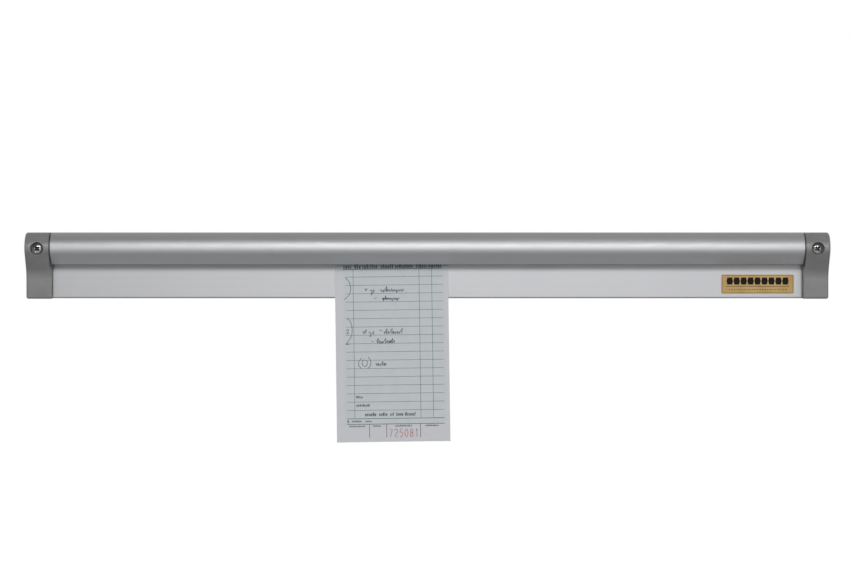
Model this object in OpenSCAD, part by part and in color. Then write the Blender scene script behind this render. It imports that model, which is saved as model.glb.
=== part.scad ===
// Order ticket rail for a kitchen pass or counter.
// One extruded aluminium rail hangs flat on the wall. Its rounded hood holds a row of glass balls
// on a sloping floor. A paper slip pushed up behind the balls is pinched against the back plate.
// Frame: X along the rail, the wall is the plane Y = 0, the front faces -Y, Z is up.
// The origin is the middle of the rail's back face.
// Sections are drawn as [depth, height], where depth runs forward from the wall.

/* [Rail] */
// Length over both end caps
overall_length = 609.6; // [304.8:0.1:1219.2]
// Height of the back plate
rail_height = 50; // [48:0.5:60]
// Thickness of the back plate
plate_thickness = 2; // [1.5:0.1:2.4]
// Depth of the hood from the wall to its nose
hood_depth = 22.2; // [21.5:0.1:24]
// Thickness of the hood's wall
hood_wall = 1.6; // [1.2:0.1:1.8]
// Outside radius of the hood above the nose
crown_radius = 12.4; // [11.5:0.1:13]
// Outside radius of the hood below the nose
nose_radius = 6; // [5:0.1:7]
// Angle of the hood's floor away from upright, which falls 3 for every 4 it runs back at 53.130102
floor_angle = 53.130102; // [50:0.000001:56]
// Opening between the hood's lip and the back plate
slot_gap = 7.4; // [6.8:0.1:8]
// Rounding of the back plate's bottom edge at the front
plate_edge_round = 1; // [0.4:0.1:1.4]

/* [End caps] */
// Width of each end cap along the rail
cap_width = 19; // [17.5:0.5:24]
// Wall of the moulded end cap
cap_wall = 2; // [1.5:0.1:2.4]
// Depth of the end cap's straight lower part
cap_foot_depth = 10.4; // [8:0.1:13]
// Angle of the end cap's sloping front away from upright
cap_slope_angle = 35; // [30:1:40]
// Radius of the hollow curve between the slope and the lower part
cap_hollow_radius = 14; // [8:1:16]
// Rounding of the end cap's bottom corner
cap_corner_round = 1.6; // [1:0.1:2.4]
// Rounding of the edge at the end cap's outer side
cap_outer_round = 1.8; // [0.6:0.1:2]
// Rounding of the edge beside the rail
cap_inner_round = 0.8; // [0.3:0.1:1]
// How far the end cap reaches below the back plate
cap_drop = 0.4; // [0:0.1:1]
// Length of the plug that fits inside the hood
plug_length = 8; // [5:0.5:14]
// Wall of the hollow plug
plug_wall = 1.6; // [1.2:0.1:2]
// Clearance of the plug inside the hood
plug_clearance = 0.15; // [0.1:0.05:0.3]
// Open joint between an end cap and the rail
seam_gap = 0.4; // [0.1:0.05:0.6]
// Thickness of the stiffening ribs behind the cap
rib_thickness = 1.4; // [1:0.1:2]
// Distance of the ribs from the wall
rib_setback = 1; // [0.5:0.1:3]

/* [Screws] */
// Diameter of the pan head
screw_head_diameter = 8.2; // [7:0.1:8.6]
// Height of the pan head
screw_head_height = 2.7; // [2.2:0.1:3.2]
// Height of the straight rim under the head's dome
screw_head_rim = 1.3; // [1:0.1:1.6]
// Diameter of the plain neck, which runs through the end cap
screw_neck_diameter = 3.2; // [2.8:0.1:3.4]
// Outside diameter of the thread, which starts at the wall
screw_thread_diameter = 4.2; // [3.5:0.1:4.8]
// Length under the head, tip included
screw_length = 32; // [26:1:45]
// Length of the pointed tip
screw_tip_length = 5; // [3:0.5:7]
// Diameter of the tip's blunt end
screw_tip_diameter = 0.6; // [0.3:0.1:1]
// Length of each arm of the cross recess
recess_reach = 2.3; // [1.8:0.1:2.8]
// Width of each arm of the cross recess
recess_width = 1.1; // [0.8:0.1:1.4]
// Depth of the cross recess
recess_depth = 1.7; // [1:0.1:2]
// Clearance of the thread in the end cap's hole
thread_clearance = 0.25; // [0.1:0.05:0.4]
// Clearance of the head in its counterbore
head_clearance = 0.75; // [0.4:0.05:1]
// Depth of the counterbore below the nose
counterbore_depth = 6; // [5:0.1:7]
// Wall round the counterbore and the screw's hole
boss_wall = 1.6; // [1.2:0.1:2]

/* [Glass balls] */
// Diameter of each ball
ball_diameter = 14; // [13:0.1:14.5]
// Smallest gap between neighbouring balls
ball_spacing = 0.3; // [0.2:0.05:0.8]
// Running gap of a resting ball to the floor, the plate or the slip
ball_seat_gap = 0.15; // [0.1:0.05:0.3]

/* [Order slip] */
// Width of the slip
slip_width = 86.4; // [70:0.2:110]
// Length of the slip
slip_length = 155.5; // [110:0.5:180]
// Thickness of the slip
slip_thickness = 0.3; // [0.2:0.05:0.4]
// Place of the slip's middle along the rail
slip_place = -26.7; // [-60:0.1:60]
// Lean of the slip out of plumb
slip_lean = 0.8; // [0:0.1:1.5]
// Gap between the slip and the back plate
slip_plate_gap = 0.1; // [0.05:0.05:0.2]
// Gap between the slip's highest corner and the hood's ceiling
slip_top_gap = 1.6; // [1:0.1:3]

/* [Label] */
// Width of the foil label
label_width = 55.4; // [40:0.2:60]
// Height of the foil label
label_height = 14.6; // [10:0.2:16]
// Thickness of the foil label
label_thickness = 0.15; // [0.1:0.05:0.3]
// Distance of the label from the end cap
label_end_gap = 6.4; // [3:0.1:20]
// Distance of the label from the plate's bottom edge
label_bottom_gap = 3.4; // [2:0.1:6]
// Corner radius of the label
label_corner = 1; // [0.5:0.1:2]

/* [Hidden] */
$fn = 96;

// Overrun of every cut past the face it opens
cut_over = 1;
// Step of the arcs in a moulded section, in degrees
arc_step = 5;
// Steps in each rounded end edge of a cap
edge_steps = 4;
// Turn of the cross recess, in degrees
recess_turn = 45;

rail_top = rail_height / 2;
rail_bottom = -rail_height / 2;
cap_face = overall_length / 2 - cap_width;
cap_end = overall_length / 2;
rail_end = cap_face - seam_gap;
cap_bottom = rail_bottom - cap_drop;

// Hood: the crown and nose arcs share the height of the nose
crown_centre = [hood_depth - crown_radius, rail_top - crown_radius];
nose_centre = [hood_depth - nose_radius, rail_top - crown_radius];
floor_normal = [cos(floor_angle), -sin(floor_angle)];
floor_rise = [sin(floor_angle), cos(floor_angle)];
lip_radius = hood_wall / 2;
lip_depth = plate_thickness + slot_gap + lip_radius;
floor_start = nose_centre + (nose_radius - lip_radius) * floor_normal;
lip_centre = floor_start - (floor_start[0] - lip_depth) / floor_rise[0] * floor_rise;
ceiling = rail_top - hood_wall;

// Glass balls
ball_radius = ball_diameter / 2;
lane_half = cap_face - plug_length - ball_spacing;
ball_count = floor(2 * lane_half / (ball_diameter + ball_spacing));
ball_pitch = 2 * lane_half / ball_count;
ball_stand = ball_radius + ball_seat_gap;

// Slip
slip_drop = (slip_width * sin(slip_lean) + slip_length * cos(slip_lean)) / 2;
slip_middle = ceiling - slip_top_gap - slip_drop;
slip_back = plate_thickness + slip_plate_gap;
slip_front = slip_back + slip_thickness;
slip_catch = sqrt(2 * ball_radius * (slip_front - plate_thickness));

// Screws
screw_place = cap_face + cap_width / 2;
screw_height = nose_centre[1];
head_seat = hood_depth - counterbore_depth;
head_radius = screw_head_diameter / 2;
head_crown = screw_head_height - screw_head_rim;
dome_radius = (pow(head_radius, 2) + pow(head_crown, 2)) / (2 * head_crown);
counterbore_radius = head_radius + head_clearance;
neck_radius = screw_neck_diameter / 2;
thread_radius = screw_thread_diameter / 2;
screw_hole_radius = thread_radius + thread_clearance;

function direction(angle) = [cos(angle), sin(angle)];

function arc(centre, radius, from, to, first = 0) =
    let (steps = max(1, ceil(abs(to - from) / arc_step)))
    [for (i = [first:steps]) centre + radius * direction(from + (to - from) * i / steps)];

// The end cap's section drawn in by a distance. It starts low down, at a given depth from the wall.
function cap_outline(inset, back = 0) =
    let (
        foot = cap_foot_depth - inset,
        hollow = cap_hollow_radius + inset,
        slope_top = nose_centre + (nose_radius - inset) * direction(-cap_slope_angle),
        slope_foot = foot + hollow * (1 - cos(cap_slope_angle)),
        slope_bottom = slope_top[1] - (slope_top[0] - slope_foot) / tan(cap_slope_angle),
        hollow_centre = [foot + hollow, slope_bottom - hollow * sin(cap_slope_angle)],
        corner = max(cap_corner_round - inset, cap_corner_round / 4)
    )
    concat(
        [[back, cap_bottom + inset]],
        arc([foot - corner, cap_bottom + inset + corner], corner, -90, 0),
        arc(hollow_centre, hollow, 180, 180 - cap_slope_angle),
        arc(nose_centre, nose_radius - inset, -cap_slope_angle, 0),
        arc(crown_centre, crown_radius - inset, 0, 90, 1),
        [[back, rail_top - inset]]
    );

// The hollow of the hood above its lip, drawn in by a distance
function hood_inside(inset) =
    let (
        base = lip_centre[1] + hood_wall + inset,
        reach = nose_radius - hood_wall - inset,
        start = nose_centre + reach * floor_normal
    )
    concat(
        [[plate_thickness + inset, base]],
        [start - (start[1] - base) / floor_rise[1] * floor_rise],
        arc(nose_centre, reach, -floor_angle, 0),
        arc(crown_centre, crown_radius - hood_wall - inset, 0, 90, 1),
        [[plate_thickness + inset, ceiling - inset]]
    );

// Where a ball's middle rests when its back stands clear of a given depth
function ball_seat(back) =
    let (
        depth = back + ball_stand,
        drop = nose_radius - hood_wall - ball_stand - (depth - nose_centre[0]) * floor_normal[0]
    )
    [depth, nose_centre[1] + drop / floor_normal[1]];

function ball_place(i) = (i - (ball_count + 1) / 2) * ball_pitch;

// Where the slip's middle line lies at a given height
function slip_line(height) = slip_place - (height - slip_middle) * tan(slip_lean);

function over_slip(x) =
    abs(x - slip_line(ball_seat(slip_front)[1])) < slip_width / 2 + slip_catch;

function ball_name(i) = str("glass_ball_", i < 10 ? "0" : "", i);

// Stands a section drawn as [depth, height] up along X, from one place to another
module along_rail(from, to) {
    translate([to, 0, 0]) rotate([90, 0, -90]) linear_extrude(to - from) children();
}

// A cylinder that runs from one depth to another, square to the wall
module across_wall(radius, from, to) {
    translate([0, -from, 0]) rotate([90, 0, 0]) cylinder(r = radius, h = to - from);
}

module sector(centre, radius, from, to) {
    far = 2 * radius;
    translate(centre) intersection() {
        circle(r = radius);
        polygon([[0, 0], far * direction(from), far * direction((from + to) / 2), far * direction(to)]);
    }
}

module bent_wall(centre, outer, from, to) {
    difference() {
        sector(centre, outer, from, to);
        translate(centre) circle(r = outer - hood_wall);
    }
}

module plate_section() {
    inner = plate_thickness - plate_edge_round;
    translate([0, rail_bottom]) square([inner, rail_height]);
    translate([0, rail_bottom + plate_edge_round]) square([plate_thickness, rail_height - plate_edge_round]);
    sector([inner, rail_bottom + plate_edge_round], plate_edge_round, -90, 0);
}

module hood_section() {
    half_wall = lip_radius * floor_normal;
    translate([0, ceiling]) square([crown_centre[0], hood_wall]);
    bent_wall(crown_centre, crown_radius, 0, 90);
    bent_wall(nose_centre, nose_radius, -floor_angle, 0);
    polygon([floor_start + half_wall, floor_start - half_wall, lip_centre - half_wall, lip_centre + half_wall]);
    sector(lip_centre, lip_radius, 180 - floor_angle, 360 - floor_angle);
}

module rail_extrusion() {
    color([0.78, 0.79, 0.8]) along_rail(-rail_end, rail_end) {
        plate_section();
        hood_section();
    }
}

// The rings of the cap's skin: place along the rail, and how far the section is drawn in
cap_rings = concat(
    [for (i = [0:edge_steps]) let (a = 90 * i / edge_steps)
        [cap_face + cap_inner_round * (1 - cos(a)), cap_inner_round * (1 - sin(a))]],
    [for (i = [0:edge_steps]) let (a = 90 * i / edge_steps)
        [cap_end - cap_outer_round * (1 - sin(a)), cap_outer_round * (1 - cos(a))]]
);

module cap_skin() {
    count = len(cap_outline(0));
    last = len(cap_rings) - 1;
    polyhedron(
        points = [for (ring = cap_rings) for (p = cap_outline(ring[1])) [ring[0], -p[0], p[1]]],
        faces = concat(
            [[for (j = [count - 1:-1:0]) j]],
            [for (k = [0:last - 1]) for (j = [0:count - 1]) let (n = (j + 1) % count)
                [k * count + j, k * count + n, (k + 1) * count + n, (k + 1) * count + j]],
            [[for (j = [0:count - 1]) last * count + j]]
        )
    );
}

// The screw's boss and post, and two ribs that stiffen the lower part
module cap_core() {
    rib_level = (screw_height + cap_bottom) / 2;
    rib_reach = hood_depth - rib_setback;
    translate([screw_place, 0, screw_height]) {
        across_wall(counterbore_radius + boss_wall, head_seat - boss_wall, hood_depth);
        across_wall(screw_hole_radius + boss_wall, 0, head_seat);
    }
    translate([screw_place - rib_thickness / 2, -hood_depth, cap_bottom])
        cube([rib_thickness, rib_reach, screw_height - cap_bottom]);
    translate([cap_face + cap_wall / 2, -hood_depth, rib_level])
        cube([cap_width - cap_wall, rib_reach, rib_thickness]);
}

module cap_plug() {
    plug_start = cap_face - plug_length;
    difference() {
        along_rail(plug_start, cap_face + cap_wall / 2) polygon(hood_inside(plug_clearance));
        along_rail(plug_start - cut_over, cap_face) polygon(hood_inside(plug_clearance + plug_wall));
    }
}

module end_cap() {
    color([0.42, 0.42, 0.41]) difference() {
        union() {
            difference() {
                cap_skin();
                along_rail(cap_face + cap_wall, cap_end - cap_wall) polygon(cap_outline(cap_wall, -cut_over));
            }
            intersection() {
                cap_skin();
                cap_core();
            }
            cap_plug();
        }
        translate([screw_place, 0, screw_height]) {
            across_wall(counterbore_radius, head_seat, hood_depth + cut_over);
            across_wall(screw_hole_radius, -cut_over, head_seat + cut_over);
        }
    }
}

module end_cap_right() {
    end_cap();
}

module end_cap_left() {
    mirror([1, 0, 0]) end_cap();
}

// A pan-head screw with its axis square to the wall, its head's seat at the named depth
module mounting_screw(place) {
    thread_end = head_seat - screw_length + screw_tip_length;
    color([0.82, 0.82, 0.84]) translate([place, 0, screw_height]) {
        difference() {
            intersection() {
                across_wall(head_radius, head_seat, head_seat + screw_head_height);
                translate([0, -(head_seat + screw_head_height - dome_radius), 0]) sphere(r = dome_radius);
            }
            for (turn = [0, 90]) rotate([0, recess_turn + turn, 0])
                translate([-recess_reach, -(head_seat + screw_head_height + cut_over), -recess_width / 2])
                    cube([2 * recess_reach, recess_depth + cut_over, recess_width]);
        }
        across_wall(neck_radius, 0, head_seat);
        across_wall(thread_radius, thread_end, 0);
        translate([0, -thread_end, 0]) rotate([-90, 0, 0])
            cylinder(r1 = thread_radius, r2 = screw_tip_diameter / 2, h = screw_tip_length);
    }
}

module mounting_screw_left() {
    mounting_screw(-screw_place);
}

module mounting_screw_right() {
    mounting_screw(screw_place);
}

module foil_label() {
    left = cap_face - label_end_gap - label_width;
    low = rail_bottom + label_bottom_gap;
    color([0.69, 0.57, 0.37]) translate([left, -plate_thickness, low]) rotate([90, 0, 0])
        linear_extrude(label_thickness) {
            translate([label_corner, 0]) square([label_width - 2 * label_corner, label_height]);
            translate([0, label_corner]) square([label_width, label_height - 2 * label_corner]);
            for (i = [0, 1]) for (j = [0, 1]) {
                corner = [label_corner + i * (label_width - 2 * label_corner),
                    label_corner + j * (label_height - 2 * label_corner)];
                from = i == 1 ? -90 + 90 * j : 180 - 90 * j;
                sector(corner, label_corner, from, from + 90);
            }
        }
}

module order_slip() {
    color([0.74, 0.78, 0.76]) translate([slip_place, -slip_front, slip_middle]) rotate([0, -slip_lean, 0])
        translate([-slip_width / 2, 0, -slip_length / 2]) cube([slip_width, slip_thickness, slip_length]);
}

module glass_ball(i) {
    seat = ball_seat(over_slip(ball_place(i)) ? slip_front : plate_thickness);
    color([0.6, 0.75, 0.7]) translate([ball_place(i), -seat[0], seat[1]]) sphere(r = ball_radius);
}

rail_extrusion();
end_cap_left();
end_cap_right();
mounting_screw_left();
mounting_screw_right();
foil_label();
order_slip();
for (i = [1:ball_count]) glass_ball(i);
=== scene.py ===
import math
import random

import bmesh
import bpy
from mathutils import Matrix, Vector


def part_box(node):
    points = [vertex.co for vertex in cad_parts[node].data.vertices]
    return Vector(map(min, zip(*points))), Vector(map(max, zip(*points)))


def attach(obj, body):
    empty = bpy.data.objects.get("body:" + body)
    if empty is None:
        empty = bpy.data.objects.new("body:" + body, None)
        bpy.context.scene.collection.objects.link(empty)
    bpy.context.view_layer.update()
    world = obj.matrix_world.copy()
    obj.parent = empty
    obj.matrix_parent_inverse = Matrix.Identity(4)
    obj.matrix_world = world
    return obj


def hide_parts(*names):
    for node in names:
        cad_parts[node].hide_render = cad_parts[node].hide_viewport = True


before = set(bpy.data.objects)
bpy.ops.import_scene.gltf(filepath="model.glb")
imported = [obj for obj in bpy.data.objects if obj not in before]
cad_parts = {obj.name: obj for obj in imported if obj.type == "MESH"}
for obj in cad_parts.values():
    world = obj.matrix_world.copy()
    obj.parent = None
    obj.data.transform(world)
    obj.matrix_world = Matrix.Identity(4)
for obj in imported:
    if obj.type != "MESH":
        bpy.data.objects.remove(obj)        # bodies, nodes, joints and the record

mm = 0.001
scene = bpy.context.scene
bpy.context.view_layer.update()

# Camera: level, straight at the rail, a little below its middle
view = {
    "lens": 122.68,        # on the 36 mm sensor
    "sensor": 36,
    "away": 2210.4 * mm,   # from the wall plane
    "across": -1.83 * mm,
    "height": -13.8 * mm,
    "near": 0.05,
    "far": 60,
}


def makeCamera():
    data = bpy.data.cameras.new("camera")
    data.lens, data.sensor_width = view["lens"], view["sensor"]
    data.clip_start, data.clip_end = view["near"], view["far"]
    camera = bpy.data.objects.new("camera", data)
    camera.location = (view["across"], -view["away"], view["height"])
    camera.rotation_euler = (math.radians(90), 0, 0)
    scene.collection.objects.link(camera)
    scene.camera = camera


makeCamera()
scene.view_settings.view_transform = "Standard"


# Node helpers
def addNode(tree, kind, sockets=None, **settings):
    node = tree.nodes.new(kind)
    for key, value in settings.items():
        setattr(node, key, value)
    for key, value in (sockets or {}).items():
        if isinstance(value, bpy.types.NodeSocket):
            tree.links.new(value, node.inputs[key])
        else:
            node.inputs[key].default_value = value
    return node


def mathNode(tree, operation, *values):
    return addNode(tree, "ShaderNodeMath", dict(enumerate(values)), operation=operation).outputs[0]


def rangeNode(tree, value, low, high, outLow, outHigh):
    sockets = {"Value": value, "From Min": low, "From Max": high, "To Min": outLow, "To Max": outHigh}
    return addNode(tree, "ShaderNodeMapRange", sockets, interpolation_type="SMOOTHSTEP").outputs[0]


def mixColour(tree, share, first, second):
    node = addNode(tree, "ShaderNodeMix", {"Factor": share}, data_type="RGBA")
    for socket, value in ((node.inputs[6], first), (node.inputs[7], second)):
        if isinstance(value, bpy.types.NodeSocket):
            tree.links.new(value, socket)
        else:
            socket.default_value = (*value, 1)
    return node.outputs[2]


def newGroup(name, inputs, outputs):
    group = bpy.data.node_groups.new(name, "ShaderNodeTree")
    for label, value in inputs.items():
        socket = group.interface.new_socket(label, in_out="INPUT", socket_type="NodeSocketFloat")
        socket.default_value = value
    for label in outputs:
        group.interface.new_socket(label, in_out="OUTPUT", socket_type="NodeSocketFloat")
    return group, group.nodes.new("NodeGroupInput"), group.nodes.new("NodeGroupOutput")


def placeGroup(tree, group, **values):
    return addNode(tree, "ShaderNodeGroup", values, node_tree=group)


# Fine lines that an extrusion die or a brush leaves along X
def makeLinesGroup():
    group, given, out = newGroup("drawnLines", {"Spacing": 0.4, "Run": 300.0}, ["Lines"])
    spot = addNode(group, "ShaderNodeTexCoord")
    parts = addNode(group, "ShaderNodeSeparateXYZ", {0: spot.outputs["Object"]})
    across = mathNode(group, "DIVIDE", 1 / mm, given.outputs["Spacing"])
    along = mathNode(group, "DIVIDE", 1 / mm, given.outputs["Run"])
    stretched = addNode(group, "ShaderNodeCombineXYZ", {
        0: mathNode(group, "MULTIPLY", parts.outputs[0], along),
        1: mathNode(group, "MULTIPLY", parts.outputs[1], across),
        2: mathNode(group, "MULTIPLY", parts.outputs[2], across)})
    noise = addNode(group, "ShaderNodeTexNoise", {
        "Vector": stretched.outputs[0], "Scale": 1.0, "Detail": 3.0, "Roughness": 0.6})
    group.links.new(rangeNode(group, noise.outputs["Fac"], 0.3, 0.7, 0.0, 1.0), out.inputs["Lines"])
    return group


# Fine grain with a slower mottle over it
def makeGrainGroup():
    group, given, out = newGroup("fineGrain", {"Size": 0.4, "Patch": 12.0}, ["Height", "Mottle"])
    spot = addNode(group, "ShaderNodeTexCoord")
    for size, label, detail in (("Size", "Height", 2.0), ("Patch", "Mottle", 4.0)):
        scale = mathNode(group, "DIVIDE", 1 / mm, given.outputs[size])
        noise = addNode(group, "ShaderNodeTexNoise", {
            "Vector": spot.outputs["Object"], "Scale": scale, "Detail": detail})
        group.links.new(rangeNode(group, noise.outputs["Fac"], 0.25, 0.75, 0.0, 1.0), out.inputs[label])
    return group


# Soft smudges left by hands and cloths
def makeHandlingGroup():
    group, given, out = newGroup("handling", {"Patch": 40.0, "Cover": 0.5}, ["Smudge"])
    spot = addNode(group, "ShaderNodeTexCoord")
    scale = mathNode(group, "DIVIDE", 1 / mm, given.outputs["Patch"])
    noise = addNode(group, "ShaderNodeTexNoise", {
        "Vector": spot.outputs["Object"], "Scale": scale, "Detail": 5.0,
        "Roughness": 0.65, "Distortion": 0.6})
    start = mathNode(group, "SUBTRACT", 1.0, given.outputs["Cover"])
    end = mathNode(group, "ADD", start, 0.3)
    group.links.new(rangeNode(group, noise.outputs["Fac"], start, end, 0.0, 1.0), out.inputs["Smudge"])
    return group


linesGroup, grainGroup, handlingGroup = makeLinesGroup(), makeGrainGroup(), makeHandlingGroup()


def newMaterial(name, **sockets):
    material = bpy.data.materials.new(name)
    material.use_nodes = True
    shader = material.node_tree.nodes["Principled BSDF"]
    for key, value in sockets.items():
        shader.inputs[key.replace("_", " ")].default_value = value
    return material, material.node_tree, shader


def bumpFrom(tree, shader, height, depth, strength=1.0):
    bump = addNode(tree, "ShaderNodeBump", {"Height": height, "Distance": depth, "Strength": strength})
    tree.links.new(bump.outputs[0], shader.inputs["Normal"])


def feed(tree, shader, name, output):
    tree.links.new(output, shader.inputs[name])


def roughnessFrom(tree, shader, mask, span):
    feed(tree, shader, "Roughness", rangeNode(tree, mask, 0.0, 1.0, *span))


def objectPlace(tree):
    spot = addNode(tree, "ShaderNodeTexCoord")
    return addNode(tree, "ShaderNodeSeparateXYZ", {0: spot.outputs["Object"]}).outputs


lipShade = {
    "depths": (-9.0 * mm, -4.0 * mm),      # grows from the lip towards the plate
    "plateFace": (-1.7 * mm, -0.9 * mm),   # ends inside the plate, so its back stays clean
    "seamHeights": (-5.0 * mm, -1.0 * mm),
}


# The part of the plate that the lip overhangs, growing between two heights
def underLip(tree, low, high, most):
    place = objectPlace(tree)
    front = mathNode(tree, "MULTIPLY", rangeNode(tree, place[1], *lipShade["depths"], 0.0, 1.0),
                     rangeNode(tree, place[1], *lipShade["plateFace"], 1.0, 0.0))
    return mathNode(tree, "MULTIPLY", rangeNode(tree, place[2], low, high, 0.0, most), front)


# Grime and painted shade beside the seam between the rail and a cap; the painted shade reaches further under
# the lip, into the shaded corner
def seamGrimeAndShade(tree, low, high, atLow, atHigh, reach=0.0):
    outward = mathNode(tree, "ABSOLUTE", objectPlace(tree)[0])
    below = underLip(tree, *lipShade["seamHeights"], reach)
    return rangeNode(tree, mathNode(tree, "ADD", outward, below), low, high, atLow, atHigh)


aluminium = {
    "dark": (0.775, 0.785, 0.800),
    "light": (0.815, 0.822, 0.835),
    "roughness": (0.385, 0.445),
    "across": 0.6,         # gloss spreads across the lines more than along them
    "smudge": 0.04,
    "lineSpacing": 0.35,
    "lineRun": 420.0,
    "lineHeight": 0.0012 * mm,
    "smudgePatch": 55.0,
    "smudgeCover": 0.5,
    # grime with painted shade at the seams, and painted shade under the lip and along the lower edge, all in
    # this one colour
    "grimeAndShade": (0.30, 0.305, 0.31),
    "grimeAndShadeFrom": 284.9 * mm,
    "grimeAndShadeTo": 285.6 * mm,
    # how far the painted shade at the seams reaches under the lip, into the corner beside each cap
    "shadeUnderLipReach": 1.2 * mm,
    "paintedShade": 0.66,                  # share of the grime colour in the painted shade under the lip
    "paintedShadeHeights": (-6.2 * mm, -0.8 * mm),
    "edge": 1.5 * mm,              # height of the painted shade along the plate's lower edge
    "edgeShade": 0.75,
}


def makeAluminium():
    material, tree, shader = newMaterial("anodisedAluminium", Metallic=1.0, Anisotropic=aluminium["across"])
    tangent = addNode(tree, "ShaderNodeTangent", direction_type="RADIAL", axis="X")
    tree.links.new(tangent.outputs[0], shader.inputs["Tangent"])
    lines = placeGroup(tree, linesGroup, Spacing=aluminium["lineSpacing"],
                       Run=aluminium["lineRun"]).outputs["Lines"]
    smudge = placeGroup(tree, handlingGroup, Patch=aluminium["smudgePatch"],
                        Cover=aluminium["smudgeCover"]).outputs["Smudge"]
    clean = mixColour(tree, lines, aluminium["dark"], aluminium["light"])
    # painted shade with grime beside the seams, reaching under the lip into the shaded corners
    grimeAndShade = seamGrimeAndShade(tree, aluminium["grimeAndShadeFrom"], aluminium["grimeAndShadeTo"], 0.0, 1.0,
                      aluminium["shadeUnderLipReach"])
    # painted shade along the plate's lower edge, where its rounding turns away from the light
    edge = rangeNode(tree, objectPlace(tree)[2], rail["bottom"], rail["bottom"] + aluminium["edge"],
                     aluminium["edgeShade"], 0.0)
    # painted shade on the plate under the lip, where the hood shades it, together with the painted shade
    # along the lower edge
    paintedShade = mathNode(tree, "ADD", edge, underLip(tree, *aluminium["paintedShadeHeights"], aluminium["paintedShade"]))
    shaded = mixColour(tree, paintedShade, clean, aluminium["grimeAndShade"])
    feed(tree, shader, "Base Color", mixColour(tree, grimeAndShade, shaded, aluminium["grimeAndShade"]))
    base = rangeNode(tree, lines, 0.0, 1.0, *aluminium["roughness"])
    rubbed = mathNode(tree, "MULTIPLY", smudge, aluminium["smudge"])
    feed(tree, shader, "Roughness", mathNode(tree, "ADD", base, rubbed))
    bumpFrom(tree, shader, lines, aluminium["lineHeight"])
    return material


capFinish = {
    "dark": (0.218, 0.216, 0.214),
    "light": (0.248, 0.246, 0.243),
    "metallic": 0.25,
    "specular": 1.0,
    "roughness": (0.31, 0.38),
    "grain": 0.45,
    "grainHeight": 0.012 * mm,
    "patch": 14.0,
    # painted shade in the seam beside the rail, in this colour
    "grimeAndShade": (0.06, 0.06, 0.06),
    "grimeAndShadeFrom": 286.1 * mm,
    "grimeAndShadeTo": 286.8 * mm,
    "besidePlate": (-5.0 * mm, -2.5 * mm),
    "besideHood": (-3.0 * mm, 0.0),
}


def makeCapFinish():
    material, tree, shader = newMaterial(
        "mouldedCap", Metallic=capFinish["metallic"], Specular_IOR_Level=capFinish["specular"])
    grain = placeGroup(tree, grainGroup, Size=capFinish["grain"], Patch=capFinish["patch"])
    clean = mixColour(tree, grain.outputs["Mottle"], capFinish["dark"], capFinish["light"])
    place = objectPlace(tree)
    # painted shade on the cap's inner wall where it meets the plate or stands under the hood
    beside = mathNode(tree, "MAXIMUM", rangeNode(tree, place[1], *capFinish["besidePlate"], 0.0, 1.0),
                      rangeNode(tree, place[2], *capFinish["besideHood"], 0.0, 1.0))
    seam = seamGrimeAndShade(tree, capFinish["grimeAndShadeFrom"], capFinish["grimeAndShadeTo"], 1.0, 0.0)
    grimeAndShade = mathNode(tree, "MULTIPLY", seam, beside)
    feed(tree, shader, "Base Color", mixColour(tree, grimeAndShade, clean, capFinish["grimeAndShade"]))
    roughnessFrom(tree, shader, grain.outputs["Height"], capFinish["roughness"])
    bumpFrom(tree, shader, grain.outputs["Height"], capFinish["grainHeight"])
    return material


screwFinish = {
    "colour": (0.66, 0.66, 0.67),
    "worn": (0.46, 0.46, 0.47),
    "roughness": (0.12, 0.26),
    "patch": 2.5,
    "cover": 0.5,
    # painted shade in the cross recess
    "recess": (0.07, 0.07, 0.07),
    "recessReach": (2.3 * mm, 2.7 * mm),
    "recessFrom": (0.45 * mm, 0.85 * mm),  # below the top of the head
    "seatFade": 0.5 * mm,                  # the painted shade ends this near the head's seat
}


def makeScrewFinish():
    material, tree, shader = newMaterial("brightPlating", Metallic=1.0)
    smudge = placeGroup(tree, handlingGroup, Patch=screwFinish["patch"],
                        Cover=screwFinish["cover"]).outputs["Smudge"]
    place = objectPlace(tree)
    across = mathNode(tree, "SUBTRACT", mathNode(tree, "ABSOLUTE", place[0]), screwX)
    up = mathNode(tree, "SUBTRACT", place[2], screwZ)
    offset = addNode(tree, "ShaderNodeCombineXYZ", {0: across, 1: up})
    reach = addNode(tree, "ShaderNodeVectorMath", {0: offset.outputs[0]}, operation="LENGTH").outputs["Value"]
    top = headSeat + screw["headHeight"]
    near, deep = screwFinish["recessReach"], screwFinish["recessFrom"]
    level = mathNode(tree, "MULTIPLY", rangeNode(tree, place[1], deep[0] - top, deep[1] - top, 0.0, 1.0),
                     rangeNode(tree, place[1], -headSeat - screwFinish["seatFade"], -headSeat, 1.0, 0.0))
    # painted shade in the cross recess, within its reach and below the head's top
    inside = mathNode(tree, "MULTIPLY", rangeNode(tree, reach, *near, 1.0, 0.0), level)
    plated = mixColour(tree, smudge, screwFinish["colour"], screwFinish["worn"])
    feed(tree, shader, "Base Color", mixColour(tree, inside, plated, screwFinish["recess"]))
    roughnessFrom(tree, shader, smudge, screwFinish["roughness"])
    return material


foil = {
    "dark": (0.56, 0.37, 0.15),
    "light": (0.66, 0.45, 0.20),
    "metallic": 0.9,
    "roughness": (0.28, 0.42),
    "grain": 0.3,
    "patch": 9.0,
    "grainHeight": 0.004 * mm,
    "print": (0.006, 0.005, 0.004),
    "printWorn": (0.020, 0.017, 0.012),
    "printGloss": 0.12,
}


def makeFoil():
    material, tree, shader = newMaterial("goldFoil", Metallic=foil["metallic"])
    grain = placeGroup(tree, grainGroup, Size=foil["grain"], Patch=foil["patch"])
    feed(tree, shader, "Base Color", mixColour(tree, grain.outputs["Mottle"], foil["dark"], foil["light"]))
    roughnessFrom(tree, shader, grain.outputs["Height"], foil["roughness"])
    bumpFrom(tree, shader, grain.outputs["Height"], foil["grainHeight"])
    return material


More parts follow.
